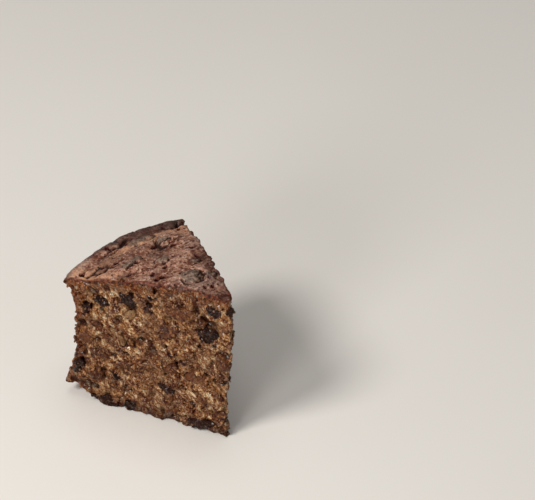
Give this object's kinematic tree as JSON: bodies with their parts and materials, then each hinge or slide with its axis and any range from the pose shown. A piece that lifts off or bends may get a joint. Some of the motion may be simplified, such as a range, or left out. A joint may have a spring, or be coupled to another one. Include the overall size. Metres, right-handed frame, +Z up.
{
  "type": "fruit cake slice",
  "caption": "Tall wedge cut from a round, rich fruit cake, with a wrinkled domed crust, rough cut faces set with dried fruit, a baked side and a flat base to stand on.",
  "frame": {"origin": "on the flat base, on the slice's middle line, halfway between the tip and the baked side", "axes": "+Z up from the base to the crust, +Y from the tip to the baked side along the slice's middle line, +X to the right seen from the tip"},
  "size_m": [0.0676, 0.0804, 0.0764],
  "materials": {
    "cake": null
  },
  "bodies": {
    "root": {"cake_slice": "cake"}
  },
  "joints": []
}
